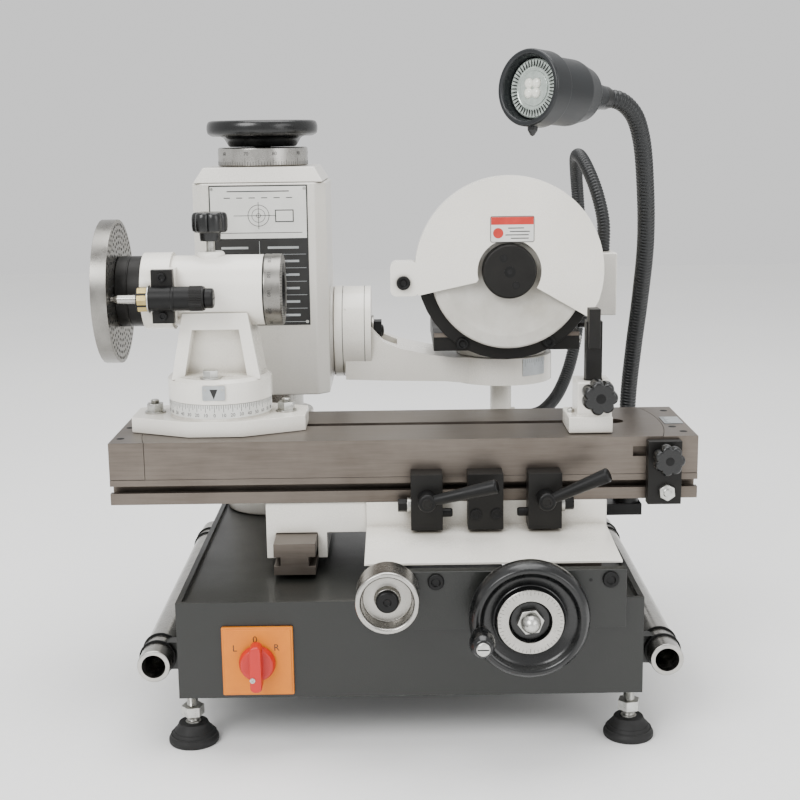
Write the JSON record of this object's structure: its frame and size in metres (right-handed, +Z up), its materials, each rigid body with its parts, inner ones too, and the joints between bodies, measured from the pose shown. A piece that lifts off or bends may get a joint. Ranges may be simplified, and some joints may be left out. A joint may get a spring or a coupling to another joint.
{
  "type": "universal tool and cutter grinder",
  "caption": "Bench-top universal tool and cutter grinder: cross-slide table, indexing work head, tooth rest, lifting column, swing arm with guarded wheel and gooseneck lamp.",
  "frame": {"origin": "bottom centre of the machine's bounding box, on the bench surface under the feet", "axes": "+Z up, -Y towards the operator, +X along the table to the operator's right"},
  "size_m": [0.5286, 0.5029, 0.5787],
  "materials": {
    "enamel": "gloss off-white machine enamel",
    "green_paint": "semi-gloss dark grey-green",
    "ground_steel": "surface ground",
    "satin_steel": "turned satin",
    "black_oxide": "oil blackened",
    "black_plastic": "polished phenolic",
    "rubber": "matt moulded",
    "corrugated_hose": "satin corrugated",
    "yellow_plate": "satin",
    "red_plastic": "moulded gloss",
    "abrasive": "vitrified grit",
    "lamp_shell": "blue-black powder coat"
  },
  "bodies": {
    "base": {"base_cabinet": "green_paint", "front_plate": "green_paint", "foot_front_left": "rubber", "foot_front_right": "rubber", "foot_rear_left": "rubber", "foot_rear_right": "rubber", "lifting_tube_left": "satin_steel", "lifting_tube_right": "satin_steel", "cross_rail_left": "ground_steel", "cross_rail_right": "ground_steel", "column_pedestal": "enamel", "column_pillar": "satin_steel", "lamp_bracket": "black_oxide", "lamp_neck": "corrugated_hose", "lamp_head": "lamp_shell", "switch_plate": "yellow_plate"},
    "switch_handle": {"switch_knob": "red_plastic"},
    "traverse_control": {"traverse_knob": "satin_steel"},
    "feed_wheel": {"feed_handwheel": "black_plastic", "feed_screw": "satin_steel"},
    "feed_handle": {"handwheel_handle": "black_plastic"},
    "saddle": {"saddle": "enamel", "splash_shield": "enamel", "stop_block_middle": "black_oxide"},
    "pinion": {"traverse_pinion": "satin_steel"},
    "table": {"lower_table": "ground_steel", "end_block_left": "ground_steel", "end_block_right": "ground_steel", "taper_plate": "black_oxide"},
    "taper_clamp": {"taper_knob": "black_plastic"},
    "stop_left": {"stop_block_left": "black_oxide"},
    "stop_right": {"stop_block_right": "black_oxide"},
    "lever_left": {"clamp_lever_left": "black_oxide"},
    "lever_right": {"clamp_lever_right": "black_oxide"},
    "upper_table": {"upper_table": "ground_steel", "head_base_plate": "enamel", "rest_holder": "enamel"},
    "work_head": {"head_housing": "enamel", "index_pin_barrel": "black_oxide"},
    "plunger": {"index_plunger": "satin_steel"},
    "work_spindle": {"head_spindle": "black_oxide", "index_plate": "satin_steel"},
    "head_clamp": {"head_clamp_knob": "black_plastic"},
    "rest_slide": {"rest_post": "black_oxide"},
    "rest_clamp": {"rest_knob": "black_plastic"},
    "column": {"column_housing": "enamel", "column_cap": "enamel", "arm_stud": "black_oxide"},
    "lift_wheel": {"lift_handwheel": "black_plastic", "lift_screw": "satin_steel"},
    "arm": {"arm": "enamel"},
    "wheelhead": {"swivel_table": "black_oxide", "slide_block": "black_oxide", "motor": "enamel", "terminal_box": "black_oxide", "guard_back": "black_oxide", "guard_cover": "enamel", "conduit": "corrugated_hose"},
    "grinding_spindle": {"grinding_wheel": "abrasive", "wheel_flange": "black_oxide"}
  },
  "joints": [
    {"name": "switch_turn", "type": "hinge", "parent": "base", "child": "switch_handle", "pos_m": [-0.11875, -0.17, 0.0833], "axis": [0, -1, 0], "range_deg": [-60, 60]},
    {"name": "feed_wheel_turn", "type": "hinge", "parent": "base", "child": "feed_wheel", "pos_m": [0.10375, -0.19, 0.1274], "axis": [0, -1, 0], "range_deg": [-2251, 1351]},
    {"name": "feed_handle_spin", "type": "hinge", "parent": "feed_wheel", "child": "feed_handle", "pos_m": [0.06375, -0.22, 0.119], "axis": [0, -1, 0], "continuous": true},
    {"name": "saddle_slide", "type": "slide", "parent": "base", "child": "saddle", "axis": [0, 1, 0], "range_m": [-0.015, 0.025]},
    {"name": "table_traverse", "type": "slide", "parent": "saddle", "child": "table", "axis": [1, 0, 0], "range_m": [-0.012, 0.012]},
    {"name": "traverse_knob_turn", "type": "hinge", "parent": "base", "child": "traverse_control", "pos_m": [-0.01025, -0.19, 0.1465], "axis": [0, -1, 0], "range_deg": [-46, 46]},
    {"name": "pinion_turn", "type": "hinge", "parent": "saddle", "child": "pinion", "pos_m": [-0.01025, -0.026, 0.1465], "axis": [0, -1, 0], "range_deg": [-46, 46]},
    {"name": "table_swivel", "type": "hinge", "parent": "table", "child": "upper_table", "pos_m": [0.00425, -0.00025, 0.22], "axis": [0, 0, 1], "range_deg": [0, 5]},
    {"name": "taper_knob_turn", "type": "hinge", "parent": "table", "child": "taper_clamp", "pos_m": [0.23375, -0.08, 0.2308], "axis": [0, -1, 0], "range_deg": [-180, 180]},
    {"name": "stop_left_slide", "type": "slide", "parent": "table", "child": "stop_left", "axis": [1, 0, 0], "range_m": [-0.15, 0]},
    {"name": "stop_right_slide", "type": "slide", "parent": "table", "child": "stop_right", "axis": [1, 0, 0], "range_m": [0, 0.06]},
    {"name": "lever_left_turn", "type": "hinge", "parent": "stop_left", "child": "lever_left", "pos_m": [0.02415, -0.09, 0.1984], "axis": [0, -1, 0], "range_deg": [0, 90]},
    {"name": "lever_right_turn", "type": "hinge", "parent": "stop_right", "child": "lever_right", "pos_m": [0.1274, -0.09, 0.1984], "axis": [0, -1, 0], "range_deg": [0, 90]},
    {"name": "head_swivel", "type": "hinge", "parent": "upper_table", "child": "work_head", "pos_m": [-0.16325, 0.001, 0.276], "axis": [0, 0, 1], "range_deg": [-25, 60]},
    {"name": "work_spindle_turn", "type": "hinge", "parent": "work_head", "child": "work_spindle", "pos_m": [-0.16325, 0.001, 0.3735], "axis": [1, 0, 0], "continuous": true},
    {"name": "plunger_pull", "type": "slide", "parent": "work_head", "child": "plunger", "axis": [1, 0, 0], "range_m": [0, 0.008], "stiffness_N_per_m": 400, "springref_m": -0.004},
    {"name": "head_clamp_turn", "type": "hinge", "parent": "work_head", "child": "head_clamp", "pos_m": [-0.16725, 0.001, 0.43], "axis": [0, 0, 1], "range_deg": [-180, 180]},
    {"name": "rest_height", "type": "slide", "parent": "upper_table", "child": "rest_slide", "axis": [0, 0, 1], "range_m": [0, 0.025]},
    {"name": "rest_knob_turn", "type": "hinge", "parent": "upper_table", "child": "rest_clamp", "pos_m": [0.17575, -0.07, 0.2835], "axis": [0, -1, 0], "range_deg": [-180, 180]},
    {"name": "column_lift", "type": "slide", "parent": "base", "child": "column", "axis": [0, 0, 1], "range_m": [-0.02, 0.11]},
    {"name": "lift_wheel_turn", "type": "hinge", "parent": "column", "child": "lift_wheel", "pos_m": [-0.13225, 0.156, 0.5], "axis": [0, 0, 1], "range_deg": [-1801, 9901]},
    {"name": "arm_tilt", "type": "hinge", "parent": "column", "child": "arm", "pos_m": [-0.06325, 0.156, 0.3124], "axis": [1, 0, 0], "range_deg": [-30, 25]},
    {"name": "wheelhead_swivel", "type": "hinge", "parent": "arm", "child": "wheelhead", "pos_m": [0.10675, 0.156, 0.289], "axis": [0, 0, 1], "range_deg": [-20, 12]},
    {"name": "wheel_spin", "type": "hinge", "parent": "wheelhead", "child": "grinding_spindle", "pos_m": [0.10775, 0.07, 0.381], "axis": [0, 1, 0], "continuous": true}
  ],
  "couplings": [
    {"joint": "feed_wheel_turn", "follows": "saddle_slide", "rad_per_m": -1570.8},
    {"joint": "lift_wheel_turn", "follows": "column_lift", "rad_per_m": 1570.8},
    {"joint": "traverse_knob_turn", "follows": "table_traverse", "rad_per_m": -66.667},
    {"joint": "pinion_turn", "follows": "table_traverse", "rad_per_m": -66.667}
  ]
}
